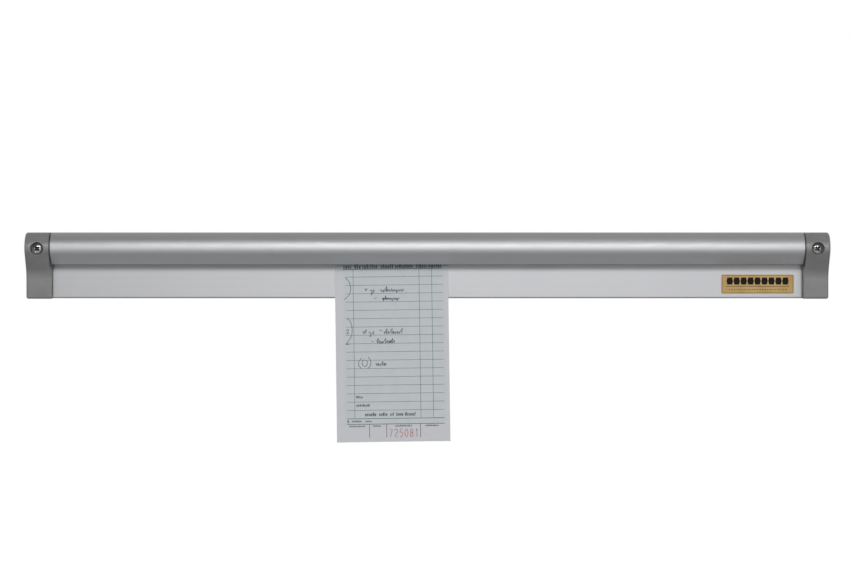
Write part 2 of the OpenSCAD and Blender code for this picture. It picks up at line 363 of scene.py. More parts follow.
ink = {
    "roughness": 0.6,
    "gloss": 0.5,
    "grain": 0.5,
    "patch": 5.0,
}


# Ink on paper or foil, thinner where it broke up in printing
def makeInk(name, colour, faded, gloss=ink["gloss"]):
    material, tree, shader = newMaterial(name, Roughness=ink["roughness"], Specular_IOR_Level=gloss)
    grain = placeGroup(tree, grainGroup, Size=ink["grain"], Patch=ink["patch"])
    feed(tree, shader, "Base Color", mixColour(tree, grain.outputs["Height"], colour, faded))
    return material


paper = {
    "plain": (0.578, 0.588, 0.615),     # margins and stub
    "tinted": (0.556, 0.594, 0.608),    # printed ground
    "blotch": (0.528, 0.570, 0.585),
    "roughness": (0.75, 0.9),
    "fibre": 0.25,
    "patch": 7.0,
    "fibreHeight": 0.006 * mm,
    "soften": 1.2 * mm,
    "lipShadow": (0.25, 0.26, 0.27),         # painted shadow of the lip, in a band across the sheet
    "lipShadowFrom": (129.2 * mm, 132.0 * mm),
    "lipShadowTo": (135.0 * mm, 140.0 * mm),
    "lipShadowMost": 0.38,
    "darkInReflection": (0.33, 0.35, 0.36),      # darker, for glossy rays only: a painted shade on the sheet's reflection in the rail
}


def makePaper(tint):
    material, tree, shader = newMaterial("slipPaper")
    grain = placeGroup(tree, grainGroup, Size=paper["fibre"], Patch=paper["patch"])
    place = objectPlace(tree)
    soft = paper["soften"]
    left = rangeNode(tree, place[0], tint["left"] - soft, tint["left"] + soft, 0.0, 1.0)
    right = rangeNode(tree, place[0], tint["right"] - soft, tint["right"] + soft, 1.0, 0.0)
    low = rangeNode(tree, place[2], tint["low"] - soft / 4, tint["low"] + soft / 4, 0.0, 1.0)
    ground = mathNode(tree, "MULTIPLY", mathNode(tree, "MULTIPLY", left, right), low)
    tinted = mixColour(tree, grain.outputs["Mottle"], paper["blotch"], paper["tinted"])
    clean = mixColour(tree, ground, paper["plain"], tinted)
    # painted shadow of the lip in a band across the sheet, set by height on the sheet
    lipShadow = mathNode(tree, "MULTIPLY", rangeNode(tree, place[2], *paper["lipShadowFrom"], 0.0, paper["lipShadowMost"]),
                    rangeNode(tree, place[2], *paper["lipShadowTo"], 1.0, 0.0))
    shadowed = mixColour(tree, lipShadow, clean, paper["lipShadow"])
    # glossy rays see the darker colour, which paints shade into the sheet's reflection in the rail
    glossy = addNode(tree, "ShaderNodeLightPath").outputs["Is Glossy Ray"]
    feed(tree, shader, "Base Color", mixColour(tree, glossy, shadowed, paper["darkInReflection"]))
    roughnessFrom(tree, shader, grain.outputs["Height"], paper["roughness"])
    bumpFrom(tree, shader, grain.outputs["Height"], paper["fibreHeight"])
    return material


glass = {
    "clear": (0.95, 0.985, 0.97),
    "deep": (0.90, 0.965, 0.94),
    "roughness": (0.0, 0.06),
    "ior": 1.52,
    "smudgePatch": 6.0,
    "smudgeCover": 0.45,
    "grain": 1.0,
    "mottlePatch": 9.0,
}


def makeGlass():
    material, tree, shader = newMaterial("ballGlass", Transmission_Weight=1.0, IOR=glass["ior"])
    smudge = placeGroup(tree, handlingGroup, Patch=glass["smudgePatch"],
                        Cover=glass["smudgeCover"]).outputs["Smudge"]
    mottle = placeGroup(tree, grainGroup, Size=glass["grain"], Patch=glass["mottlePatch"]).outputs["Mottle"]
    feed(tree, shader, "Base Color", mixColour(tree, mottle, glass["clear"], glass["deep"]))
    roughnessFrom(tree, shader, smudge, glass["roughness"])
    return material


# Mesh helpers. Sections are lists of Vector((depth, height)), where depth runs forward from the wall
def toMesh(name, bm, sharpAngle=32):
    bmesh.ops.recalc_face_normals(bm, faces=bm.faces)
    mesh = bpy.data.meshes.new(name)
    bm.to_mesh(mesh)
    bm.free()
    return smoothMesh(mesh, sharpAngle)


def smoothMesh(mesh, sharpAngle=32):
    mesh.shade_smooth()
    mesh.set_sharp_from_angle(angle=math.radians(sharpAngle))
    return mesh


def newPiece(name, mesh, material, body, node=None, place=None):
    piece = bpy.data.objects.new(name, mesh)
    scene.collection.objects.link(piece)
    mesh.materials.clear()
    mesh.materials.append(material)
    if place is not None:
        piece.matrix_world = place
    if node:
        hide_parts(node)
    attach(piece, body)


def onCircle(centre, radius, degrees):
    angle = math.radians(degrees)
    return centre + radius * Vector((math.cos(angle), math.sin(angle)))


def arc(centre, radius, start, end, step, skipFirst=False):
    count = max(1, math.ceil(abs(end - start) / step))
    first = 1 if skipFirst else 0
    return [onCircle(centre, radius, start + (end - start) * i / count) for i in range(first, count + 1)]


# Turns corners given as (point, radius) into arcs
def roundCorners(corners, step):
    outline = []
    for i, (corner, radius) in enumerate(corners):
        back = (corners[i - 1][0] - corner).normalized()
        ahead = (corners[(i + 1) % len(corners)][0] - corner).normalized()
        if radius == 0:
            outline.append(corner)
            continue
        half = back.angle(ahead) / 2
        centre = corner + (back + ahead).normalized() * (radius / math.sin(half))
        first, last = corner + back * (radius / math.tan(half)), corner + ahead * (radius / math.tan(half))
        a, b = first - centre, last - centre
        turn = math.atan2(a.x * b.y - a.y * b.x, a.dot(b))
        count = max(2, math.ceil(abs(math.degrees(turn)) / step))
        start = math.atan2(a.y, a.x)
        for k in range(count + 1):
            angle = start + turn * k / count
            outline.append(centre + radius * Vector((math.cos(angle), math.sin(angle))))
    clean = [outline[0]]
    for point in outline[1:]:
        if (point - clean[-1]).length > 1e-3 * mm:
            clean.append(point)
    return clean


# Draws an outline in by a distance
def inward(outline, distance):
    area = sum(a.x * b.y - b.x * a.y for a, b in zip(outline, outline[1:] + outline[:1]))
    side = 1 if area > 0 else -1
    moved = []
    for i, point in enumerate(outline):
        edge = (point - outline[i - 1]).normalized() + (outline[(i + 1) % len(outline)] - point).normalized()
        edge.normalize()
        moved.append(point + side * distance * Vector((-edge.y, edge.x)))
    return moved


# A band of faces between two closed rings of vertices
def bridge(bm, a, b):
    for i in range(len(a)):
        bm.faces.new((a[i - 1], a[i], b[i], b[i - 1]))


# Skins a row of closed rings, each a list of points, and closes both ends
def skinRings(bm, rings):
    rows = [[bm.verts.new(p) for p in ring] for ring in rings]
    for a, b in zip(rows, rows[1:]):
        bridge(bm, a, b)
    bm.faces.new(rows[0])
    bm.faces.new(rows[-1])


def sectionRing(outline, x):
    return [(x, -p.x, p.y) for p in outline]


def prism(outline, start, end):
    bm = bmesh.new()
    skinRings(bm, [sectionRing(outline, start), sectionRing(outline, end)])
    return toMesh("tool", bm)


def rod(x, height, radius, start, end, segments=96):
    bm = bmesh.new()
    turns = [2 * math.pi * i / segments for i in range(segments)]
    skinRings(bm, [[(x + radius * math.cos(t), -depth, height + radius * math.sin(t)) for t in turns]
                   for depth in (start, end)])
    return toMesh("tool", bm)


def slab(low, high):
    bm = bmesh.new()
    bmesh.ops.create_cube(bm, size=1)
    low, high = Vector(low), Vector(high)
    for v in bm.verts:
        v.co = Vector((low[i] + (high[i] - low[i]) * (v.co[i] + 0.5) for i in range(3)))
    return toMesh("tool", bm)


def combine(mesh, tool, operation):
    body, other = (bpy.data.objects.new("work", m) for m in (mesh, tool))
    for o in (body, other):
        scene.collection.objects.link(o)
    change = body.modifiers.new("combine", "BOOLEAN")
    change.object, change.operation, change.solver = other, operation, "EXACT"
    bpy.context.view_layer.update()
    result = bpy.data.meshes.new_from_object(body.evaluated_get(bpy.context.evaluated_depsgraph_get()))
    for o in (body, other):
        bpy.data.objects.remove(o)
    return result


# Rail: one extrusion with a flat back plate and a rounded hood
rail = {
    "plate": 2.0 * mm,
    "wall": 1.6 * mm,
    "crown": 12.4 * mm,          # outside radius above the nose
    "nose": 6.0 * mm,            # outside radius below the nose
    "floorAngle": 53.1301,       # away from upright
    "slot": 7.4 * mm,
    "plateEdge": 1.0 * mm,
    "innerCorner": 0.4 * mm,
    "backCorner": 0.2 * mm,
    "endBreak": 0.12 * mm,       # broken edge at each sawn end
    "endReach": 0.2 * mm,        # each end goes this much further into its seam
    "arcStep": 3,
}
railLow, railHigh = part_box("rail_extrusion")
rail["depth"], rail["top"], rail["bottom"] = -railLow.y, railHigh.z, railLow.z
noseCentre = Vector((rail["depth"] - rail["nose"], rail["top"] - rail["crown"]))
crownCentre = Vector((rail["depth"] - rail["crown"], rail["top"] - rail["crown"]))
floorTilt = math.radians(rail["floorAngle"])
floorNormal = Vector((math.cos(floorTilt), -math.sin(floorTilt)))
floorRise = Vector((-floorNormal.y, floorNormal.x))


# Where the floor's line, a distance from the nose's centre, reaches a depth
def onFloor(distance, depth):
    start = noseCentre + distance * floorNormal
    return start + (depth - start.x) / floorRise.x * floorRise


def railOutline():
    half = rail["wall"] / 2
    lip = onFloor(rail["nose"] - half, rail["plate"] + rail["slot"] + half)
    inside = rail["depth"] - rail["wall"]
    ceiling = rail["top"] - rail["wall"]
    return roundCorners([
        (Vector((0, rail["bottom"])), rail["backCorner"]),
        (Vector((rail["plate"], rail["bottom"])), rail["plateEdge"]),
        (Vector((rail["plate"], ceiling)), rail["innerCorner"]),
        (Vector((inside, ceiling)), rail["crown"] - rail["wall"]),
        (onFloor(rail["nose"] - rail["wall"], inside), rail["nose"] - rail["wall"]),
        (lip - half * floorRise - half * floorNormal, half),
        (lip - half * floorRise + half * floorNormal, half),
        (onFloor(rail["nose"], rail["depth"]), rail["nose"]),
        (Vector((rail["depth"], rail["top"])), rail["crown"]),
        (Vector((0, rail["top"])), rail["backCorner"]),
    ], rail["arcStep"])


def makeRail(material):
    outline = railOutline()
    broken, end = inward(outline, rail["endBreak"]), railHigh.x + rail["endReach"]
    bm = bmesh.new()
    skinRings(bm, [
        sectionRing(broken, -end), sectionRing(outline, -end + rail["endBreak"]),
        sectionRing(outline, end - rail["endBreak"]), sectionRing(broken, end)])
    newPiece("railExtrusion", toMesh("railExtrusion", bm), material, "rail", "rail_extrusion")


makeRail(makeAluminium())
print("rail: extruded with", len(railOutline()), "points in its section")

# End caps: moulded shells with a counterbored boss, a post, two ribs and a plug
cap = {
    "width": 19.0 * mm,
    "wall": 2.0 * mm,
    "foot": 10.4 * mm,           # depth of the straight lower part
    "slope": 35,                 # away from upright
    "hollow": 14.0 * mm,
    "corner": 1.6 * mm,
    "outerRound": 1.8 * mm,
    "innerRound": 0.8 * mm,
    "plug": 8.0 * mm,
    "plugWall": 1.6 * mm,
    "plugClearance": 0.15 * mm,
    "rib": 1.4 * mm,
    "ribSetback": 1.0 * mm,
    "bossWall": 1.6 * mm,
    "bore": 4.85 * mm,           # radius of the counterbore
    "boreDepth": 6.0 * mm,
    "rim": 0.35 * mm,            # softened rim of the counterbore
    "hole": 2.35 * mm,
    "arcStep": 2.5,
    "roundSteps": 8,
    "rimSteps": 5,
    "patchColumns": 24,
    "patchShares": (0.3, 0.6, 0.85, 1.0),   # rings from the patch's edge in to the rim
    "over": 1.0 * mm,
}
capLow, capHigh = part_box("end_cap_right")
capEnd, capFace = capHigh.x, capHigh.x - cap["width"]
screwX, screwZ = (capFace + capEnd) / 2, noseCentre.y
headSeat = rail["depth"] - cap["boreDepth"]
patchHalf = rail["crown"] / 2    # the crown reaches this height 30 degrees above the nose


# The cap's section, drawn in by a distance, with its points shared out the same way at every distance
def capOutline(inset, back=0.0):
    step = cap["arcStep"]
    tilt = math.radians(cap["slope"])
    foot, hollow = cap["foot"] - inset, cap["hollow"] + inset
    slopeTop = onCircle(noseCentre, rail["nose"] - inset, -cap["slope"])
    footDepth = foot + hollow * (1 - math.cos(tilt))
    slopeFoot = Vector((footDepth, slopeTop.y - (slopeTop.x - footDepth) / math.tan(tilt)))
    hollowCentre = Vector((foot + hollow, slopeFoot.y - hollow * math.sin(tilt)))
    corner = max(cap["corner"] - inset, cap["corner"] / 4)
    low = capLow.z + inset
    share = (noseCentre.y - patchHalf - slopeFoot.y) / (slopeTop.y - slopeFoot.y)
    slopeShares = [share, share + (1 - share) / 3, share + (1 - share) * 2 / 3]
    return (
        [Vector((back, low))]
        + arc(Vector((foot - corner, low + corner)), corner, -90, 0, step * 4)
        + arc(hollowCentre, hollow, 180, 180 - cap["slope"], step)
        + [slopeFoot.lerp(slopeTop, s) for s in slopeShares]
        + arc(noseCentre, rail["nose"] - inset, -cap["slope"], 0, step)
        + arc(crownCentre, rail["crown"] - inset, 0, 90, step, True)
        + [Vector((back, rail["top"] - inset))])


# Depth of the cap's front at a height, clear of its rounded side edges
def capFront(height):
    rise = height - noseCentre.y
    if rise >= 0:
        return crownCentre.x + math.sqrt(rail["crown"] ** 2 - rise ** 2)
    if rise >= -rail["nose"] * math.sin(math.radians(cap["slope"])):
        return noseCentre.x + math.sqrt(rail["nose"] ** 2 - rise ** 2)
    top = onCircle(noseCentre, rail["nose"], -cap["slope"])
    return top.x - (top.y - height) * math.tan(math.radians(cap["slope"]))


# Places along the rail and how far the section is drawn in there
def capStations():
    quarter = [math.pi / 2 * i / cap["roundSteps"] for i in range(cap["roundSteps"] + 1)]
    near, far = cap["innerRound"], cap["outerRound"]
    inner = [(capFace + near * (1 - math.cos(a)), near * (1 - math.sin(a))) for a in quarter]
    outer = [(capEnd - far * (1 - math.sin(a)), far * (1 - math.cos(a))) for a in quarter]
    left, right = screwX - patchHalf, screwX + patchHalf
    columns = [left + (right - left) * i / cap["patchColumns"] for i in range(cap["patchColumns"] + 1)]
    return inner + [(x, 0.0) for x in columns] + outer


# The point of an outline's front that is nearest to a height
def frontPoint(outline, height):
    return min(range(len(outline)), key=lambda j: abs(outline[j].y - height) - outline[j].x)


# The outside of the cap as one closed skin, with a soft-rimmed blind counterbore in its front
def capSkin():
    stations = capStations()
    outlines = [capOutline(inset) for _, inset in stations]
    bm = bmesh.new()
    rows = [[bm.verts.new((x, -p.x, p.y)) for p in outline] for (x, _), outline in zip(stations, outlines)]
    first = cap["roundSteps"] + 1
    last = first + cap["patchColumns"]
    plain = outlines[first]
    low, high = (frontPoint(plain, noseCentre.y + side * patchHalf) for side in (-1, 1))
    count = len(plain)
    for k in range(len(rows) - 1):
        for j in range(count):
            if first <= k < last and low <= j < high:
                continue
            n = (j + 1) % count
            bm.faces.new((rows[k][j], rows[k][n], rows[k + 1][n], rows[k + 1][j]))
    bm.faces.new(rows[0])
    bm.faces.new(rows[-1])
    edge = ([rows[k][low] for k in range(first, last)]
            + [rows[last][j] for j in range(low, high)]
            + [rows[k][high] for k in range(last, first, -1)]
            + [rows[first][j] for j in range(high, low, -1)])
    stitchBore(bm, edge)
    bmesh.ops.remove_doubles(bm, verts=bm.verts, dist=1e-4 * mm)
    return toMesh("capSkin", bm)


# Rings from the edge of the square patch in to the counterbore, down its wall and over its seat
def stitchBore(bm, edge):
    middle = Vector((screwX, screwZ))
    spokes = [Vector((v.co.x, v.co.z)) - middle for v in edge]
    rimStart = cap["bore"] + cap["rim"]
    rings = [edge]

    def addRing(radiusAt, depthAt):
        ring = []
        for spoke in spokes:
            spot = middle + spoke.normalized() * radiusAt(spoke)
            ring.append(bm.verts.new((spot.x, -depthAt(spot), spot.y)))
        rings.append(ring)

    for share in cap["patchShares"]:
        addRing(lambda s, t=share: s.length + (rimStart - s.length) * t, lambda p: capFront(p.y))
    for i in range(1, cap["rimSteps"] + 1):
        turn = math.pi / 2 * i / cap["rimSteps"]
        addRing(lambda s, a=turn: cap["bore"] + cap["rim"] * (1 - math.sin(a)),
                lambda p, a=turn: capFront(p.y) - cap["rim"] * (1 - math.cos(a)))
    addRing(lambda s: cap["bore"], lambda p: headSeat + cap["rim"])
    addRing(lambda s: cap["bore"] - cap["rim"], lambda p: headSeat)
    for outer, inner in zip(rings, rings[1:]):
        bridge(bm, outer, inner)
    bm.faces.new(rings[-1])


# The hood's inside, drawn in by a distance, above the lip
def hoodInside(inset):
    half = rail["wall"] / 2
    lip = onFloor(rail["nose"] - half, rail["plate"] + rail["slot"] + half)
    base, reach = lip.y + rail["wall"] + inset, rail["nose"] - rail["wall"] - inset
    start = noseCentre + reach * floorNormal
    return (
        [Vector((rail["plate"] + inset, base)), start - (start.y - base) / floorRise.y * floorRise]
        + arc(noseCentre, reach, -rail["floorAngle"], 0, cap["arcStep"])
        + arc(crownCentre, rail["crown"] - rail["wall"] - inset, 0, 90, cap["arcStep"], True)
        + [Vector((rail["plate"] + inset, rail["top"] - rail["wall"] - inset))])


def capHollow():
    hollow = prism(capOutline(cap["wall"], -cap["over"]), capFace + cap["wall"], capEnd - cap["wall"])
    ribLevel = (screwZ + capLow.z) / 2
    front, rear = -rail["depth"], -cap["ribSetback"]
    for kept in (
            rod(screwX, screwZ, cap["bore"] + cap["bossWall"], headSeat - cap["bossWall"], rail["depth"]),
            rod(screwX, screwZ, cap["hole"] + cap["bossWall"], 0, headSeat),
            slab((screwX - cap["rib"] / 2, front, capLow.z - cap["over"]),
                 (screwX + cap["rib"] / 2, rear, screwZ)),
            slab((capFace, front, ribLevel), (capEnd, rear, ribLevel + cap["rib"]))):
        hollow = combine(hollow, kept, "DIFFERENCE")
    return hollow


def capPlug():
    start = capFace - cap["plug"]
    outside = prism(hoodInside(cap["plugClearance"]), start, capFace + cap["wall"] / 2)
    inside = prism(hoodInside(cap["plugClearance"] + cap["plugWall"]), start - cap["over"], capFace)
    return combine(outside, inside, "DIFFERENCE")


def makeCaps(material):
    mesh = combine(capSkin(), capHollow(), "DIFFERENCE")
    mesh = combine(mesh, rod(screwX, screwZ, cap["hole"], -cap["over"], headSeat + cap["over"]), "DIFFERENCE")
    mesh = combine(mesh, capPlug(), "UNION")
    smoothMesh(mesh)
    mirrored = mesh.copy()
    mirrored.transform(Matrix.Scale(-1, 4, (1, 0, 0)))
    mirrored.flip_normals()
    newPiece("endCapRight", mesh, material, "rail", "end_cap_right")
    newPiece("endCapLeft", mirrored, material, "rail", "end_cap_left")
    return len(mesh.polygons)


print("caps:", makeCaps(makeCapFinish()), "faces each")

# Screws: pan heads with a cross recess, a plain neck and a thread that starts at the wall
screw = {
    "head": 4.1 * mm,            # radius
    "headHeight": 2.7 * mm,
    "rimHeight": 1.6 * mm,
    "domeSteps": 14,
    "rimSoft": (0.06 * mm, 0.09 * mm, 0.1 * mm),   # inwards, above and below the rim
    "seatSoft": 0.12 * mm,
    "neck": 1.6 * mm,            # radius
    "neckFillet": 0.2 * mm,
    "neckEnd": 0.4 * mm,         # in front of the wall
    "core": 1.45 * mm,           # radius under the thread
    "thread": 2.1 * mm,          # radius over the thread
    "pitch": 1.75 * mm,
    "fadeIn": 0.6,               # turns over which the thread rises
    "ridgeHalf": 0.24,           # half of its width, as a share of the pitch
    "ridgeShape": 0.8,
    "tipRidge": 1.1,             # how long the ridge keeps its height on the taper
    "tip": 0.3 * mm,             # radius of the blunt end
    "tipLength": 5.0 * mm,
    "reach": 2.3 * mm,           # each arm of the recess
    "arm": 1.25 * mm,
    "recess": 1.9 * mm,          # depth
    "recessAbove": 0.5 * mm,     # the tool stands this far out of the head
    "recessShares": (1.08, 0.82, 0.42),   # its size above, half way down and at the bottom
    "waist": 1.35,
    "turns": (45, 38),           # of the left and the right recess
    "segments": 64,
    "row": 0.125 * mm,
}
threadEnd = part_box("mounting_screw_right")[1].y


def headProfile():
    crown = screw["headHeight"] - screw["rimHeight"]
    dome = (screw["head"] ** 2 + crown ** 2) / (2 * crown)
    top = headSeat + screw["headHeight"]
    reach, steps = math.asin(screw["head"] / dome), screw["domeSteps"]
    angles = [reach * i / steps for i in range(1, steps)]
    points = [(dome * math.sin(a), top - dome * (1 - math.cos(a))) for a in angles]
    side, rim = screw["head"], headSeat + screw["rimHeight"]
    inwards, above, below = screw["rimSoft"]
    points += [(side - inwards, rim + above), (side, rim - below)]
    return points + [(side, headSeat + screw["seatSoft"]), (side - screw["seatSoft"], headSeat)]


def threadRadius(depth, turn):
    y = -depth
    taper = 1 - max(0.0, (y - (threadEnd - screw["tipLength"])) / screw["tipLength"])
    fadeIn = min(1.0, y / (screw["fadeIn"] * screw["pitch"]))
    core = screw["tip"] + (screw["core"] - screw["tip"]) * taper
    phase = (y / screw["pitch"] - turn) % 1.0
    ridge = max(0.0, 1 - abs(phase - 0.5) / screw["ridgeHalf"]) ** screw["ridgeShape"]
    return core + (screw["thread"] - screw["core"]) * ridge * fadeIn * min(1.0, taper * screw["tipRidge"])


def makeScrew(name, node, x, turn, material):
    count, neck, fillet = screw["segments"], screw["neck"], screw["neckFillet"]
    profile = headProfile() + [(neck + fillet, headSeat), (neck, headSeat - fillet), (neck, screw["neckEnd"])]
    rings = [[spot] * count for spot in profile]
    steps = int(threadEnd / screw["row"])
    for k in range(steps + 1):
        depth = -threadEnd * k / steps
        rings.append([(threadRadius(depth, i / count), depth) for i in range(count)])
    turns = [2 * math.pi * i / count for i in range(count)]
    bm = bmesh.new()
    skinRings(bm, [[(x + r * math.cos(t), -d, screwZ + r * math.sin(t)) for (r, d), t in zip(ring, turns)]
                   for ring in rings])
    mesh = combine(toMesh(name, bm), recessTool(x, turn), "DIFFERENCE")
    newPiece(name, smoothMesh(mesh, 40), material, "rail", node)


# A cross that narrows towards its bottom, with a small cone in its middle
def recessTool(x, turn):
    top = headSeat + screw["headHeight"]
    bm = bmesh.new()
    rings = []
    depths = (top + screw["recessAbove"], top - 0.5 * screw["recess"], top - screw["recess"])
    for depth, share in zip(depths, screw["recessShares"]):
        reach, half = screw["reach"] * share, screw["arm"] / 2 * (0.5 + 0.5 * share)
        waist = half * screw["waist"]
        ring = []
        for k in range(4):
            for u, v in ((reach, -half), (reach, half), (waist, waist)):
                angle = math.radians(90 * k + turn)
                ring.append((x + u * math.cos(angle) - v * math.sin(angle), -depth,
                             screwZ + u * math.sin(angle) + v * math.cos(angle)))
        rings.append(ring)
    skinRings(bm, rings)
    return toMesh("tool", bm)


screwMaterial = makeScrewFinish()
makeScrew("mountingScrewRight", "mounting_screw_right", screwX, screw["turns"][1], screwMaterial)
makeScrew("mountingScrewLeft", "mounting_screw_left", -screwX, screw["turns"][0], screwMaterial)
print("screws: turned, threaded and recessed")

# Foil label: plain gold plate with a frame line and a plain row of hexagons
label = {
    "corner": 1.0 * mm,
    "edge": 0.04 * mm,
    "frameInset": 0.7 * mm,
    "frameLine": 0.18 * mm,
    "frameCorner": 0.6,          # share of the foil's corner
    "hexagons": 9,
    "hexagonWidth": 5.0 * mm,
    "hexagonHeight": 5.4 * mm,
    "hexagonGap": 0.3 * mm,
    "hexagonFlat": 0.72,         # width of the flat top and bottom, as a share
    "hexagonLevel": 9.7 * mm,
    "lineLevel": 5.5 * mm,
    "dotLevel": 3.2 * mm,
    "dots": 23,
    "dot": 0.8 * mm,
    "dotSpan": 1.8,              # length of the row in halves of the rule
    "printHeight": 0.015 * mm,
}
labelLow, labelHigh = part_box("foil_label")


def roundedPlate(low, high, radius, step=10):
    corners = [(low.x, low.y), (high.x, low.y), (high.x, high.y), (low.x, high.y)]
    return roundCorners([(Vector(c), radius) for c in corners], step)


# A flat shape on the wall's plane, from one depth to another
def flatShape(bm, outline, back, front, edge=0.0):
    rings = [(outline, back), (outline, front)]
    if edge:
        rings[1:] = [(outline, front - edge), (inward(outline, edge), front)]
    skinRings(bm, [[(p.x, -depth, p.y) for p in ring] for ring, depth in rings])


def makeLabel():
    low, high = Vector((labelLow.x, labelLow.z)), Vector((labelHigh.x, labelHigh.z))
    back, front = -labelHigh.y, -labelLow.y
    face = front - label["printHeight"]
    bm = bmesh.new()
    flatShape(bm, roundedPlate(low, high, label["corner"]), back, face, label["edge"])
    newPiece("foilLabel", toMesh("foilLabel", bm), makeFoil(), "rail", "foil_label")
    bm = bmesh.new()
    inset = Vector((label["frameInset"],) * 2)
    line = Vector((label["frameLine"],) * 2)
    corner = label["corner"] * label["frameCorner"]
    outer = roundedPlate(low + inset, high - inset, corner)
    inner = roundedPlate(low + inset + line, high - inset - line, corner - label["frameLine"])
    loops = [[bm.verts.new((p.x, -d, p.y)) for p in ring] for ring, d in
             ((outer, face), (outer, front), (inner, front), (inner, face))]
    for a, b in zip(loops, loops[1:] + loops[:1]):
        bridge(bm, a, b)
    middle = (low.x + high.x) / 2
    pitch = label["hexagonWidth"] + label["hexagonGap"]
    for i in range(label["hexagons"]):
        centre = Vector((middle + (i - (label["hexagons"] - 1) / 2) * pitch, low.y + label["hexagonLevel"]))
        w, h = label["hexagonWidth"] / 2, label["hexagonHeight"] / 2
        flat = w * label["hexagonFlat"]
        flatShape(bm, [centre + Vector(p) for p in (
            (-w, 0), (-flat, -h), (flat, -h), (w, 0), (flat, h), (-flat, h))], face, front)
    span = pitch * label["hexagons"] / 2
    rule = low.y + label["lineLevel"]
    above = rule + label["frameLine"] * 2
    flatShape(bm, [Vector(p) for p in (
        (middle - span, rule), (middle + span, rule),
        (middle + span, above), (middle - span, above))], face, front)
    for i in range(label["dots"]):
        along = (i / (label["dots"] - 1) - 0.5) * label["dotSpan"] * span
        centre = Vector((middle + along, low.y + label["dotLevel"]))
        flatShape(bm, arc(centre, label["dot"] / 2, 0, 324, 36), face, front)
    printInk = makeInk("labelInk", foil["print"], foil["printWorn"], foil["printGloss"])
    newPiece("labelPrint", toMesh("labelPrint", bm), printInk, "rail")


makeLabel()
print("label: foil and its print")

# Order slip: a sheet of paper with printed rules, a numbered stub and pen marks.
# Its own frame has the sheet's bottom left corner as origin, X across, Z up and the print facing -Y
slip = {
    "width": 86.4 * mm,
    "length": 155.5 * mm,
    "lean": 0.8,                 # degrees out of plumb
    "paper": 0.1 * mm,
    "backGap": 0.04 * mm,
    "ink": 0.02 * mm,
    "bowStart": 100.0 * mm,      # the sheet hangs free below this height
    "bow": 2.6 * mm,
    "cornerCurl": 1.4 * mm,
    "columns": 24,
    "rows": 60,
}
slipPrint = {
    "left": 7.9, "right": 82.2,                  # all in mm on the sheet
    "tintLeft": 6.2, "tintRight": 83.4,
    "ruleStart": 17.8, "rulePitch": 6.35, "rules": 18,
    "ruleWidth": 0.29, "heavyWidth": 0.46,
    "stubLine": 13.6,
    "columnsAt": (13.9, 64.2, 73.8),
    "columnWidth": 0.32, "columnStart": 0.6,     # above the first rule
    "headerLow": 131.6, "headerHigh": 135.2,
    "headerOut": 1.8, "headerIn": 0.6,           # past the rules' left ends, short of their right ends
    "stubDividers": (24.9, 37.9, 63.7), "dividerShare": 1.4,
    "numberLeft": 39.8, "numberLow": 3.4, "digitWidth": 2.7, "digitPitch": 3.95, "digitHeight": 6.5,
    "digitLine": 0.55,
    "number": "725081",
    "perforation": 13.1, "slit": 0.9, "slitPitch": 1.5, "slitWidth": 0.14,
}
slipLow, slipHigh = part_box("order_slip")


def sheetBow(u, v):
    free = max(0.0, 1 - v / slip["bowStart"])
    across = u / slip["width"]
    return slip["bow"] * free ** 2 + slip["cornerCurl"] * free ** 4 * (across - 0.45) ** 2 * 4


def onSheet(u, v, lift=0.0):
    return Vector((u, -slip["backGap"] - slip["paper"] - lift - sheetBow(u, v), v))


def placeSlip():
    middle = (slipLow + slipHigh) / 2
    lean = Matrix.Rotation(math.radians(-slip["lean"]), 4, "Y")
    centre = Vector((slip["width"] / 2, 0, slip["length"] / 2))
    return Matrix.Translation((middle.x, slipHigh.y, middle.z)) @ lean @ Matrix.Translation(-centre)


def slipPiece(name, bm, material, node=None):
    newPiece(name, toMesh(name, bm, 60), material, "slip", node, placeSlip())


def makeSheet(material):
    bm = bmesh.new()
    columns, rows = slip["columns"], slip["rows"]
    grids = []
    for lift in (0.0, -slip["paper"]):
        grids.append([[bm.verts.new(onSheet(slip["width"] * i / columns, slip["length"] * j / rows, lift))
                       for i in range(columns + 1)] for j in range(rows + 1)])
    for grid in grids:
        for j in range(rows):
            for i in range(columns):
                bm.faces.new((grid[j][i], grid[j][i + 1], grid[j + 1][i + 1], grid[j + 1][i]))
    border = ([(0, i) for i in range(columns)] + [(j, columns) for j in range(rows)]
              + [(rows, i) for i in range(columns, 0, -1)] + [(j, 0) for j in range(rows, 0, -1)])
    for (ja, ia), (jb, ib) in zip(border, border[1:] + border[:1]):
        bm.faces.new((grids[0][ja][ia], grids[0][jb][ib], grids[1][jb][ib], grids[1][ja][ia]))
    slipPiece("orderSlip", bm, material, "order_slip")


# A line of ink through points given in mm on the sheet, as a closed strip a hair above the paper
def inkLine(bm, points, width, close=False):
    points = [Vector(p) for p in points]
    count = len(points)
    sides = []
    for i, point in enumerate(points):
        before = points[i - 1] if i or close else point
        after = points[(i + 1) % count] if i < count - 1 or close else point
        along = (after - before).normalized()
        off = Vector((-along.y, along.x)) * width / 2
        sides.append([onSheet(p.x * mm, p.y * mm, lift) for p, lift in (
            (point + off, slip["ink"]), (point - off, slip["ink"]), (point - off, 0.0), (point + off, 0.0))])
    rings = [[bm.verts.new(p) for p in ring] for ring in sides]
    pairs = list(zip(rings, rings[1:])) + ([(rings[-1], rings[0])] if close else [])
    for a, b in pairs:
        bridge(bm, a, b)
    if not close:
        bm.faces.new(rings[0])
        bm.faces.new(rings[-1])


def straight(bm, start, end, width):
    start, end = Vector(start), Vector(end)
    count = max(1, math.ceil((end - start).length / 5))
    inkLine(bm, [start.lerp(end, i / count) for i in range(count + 1)], width)


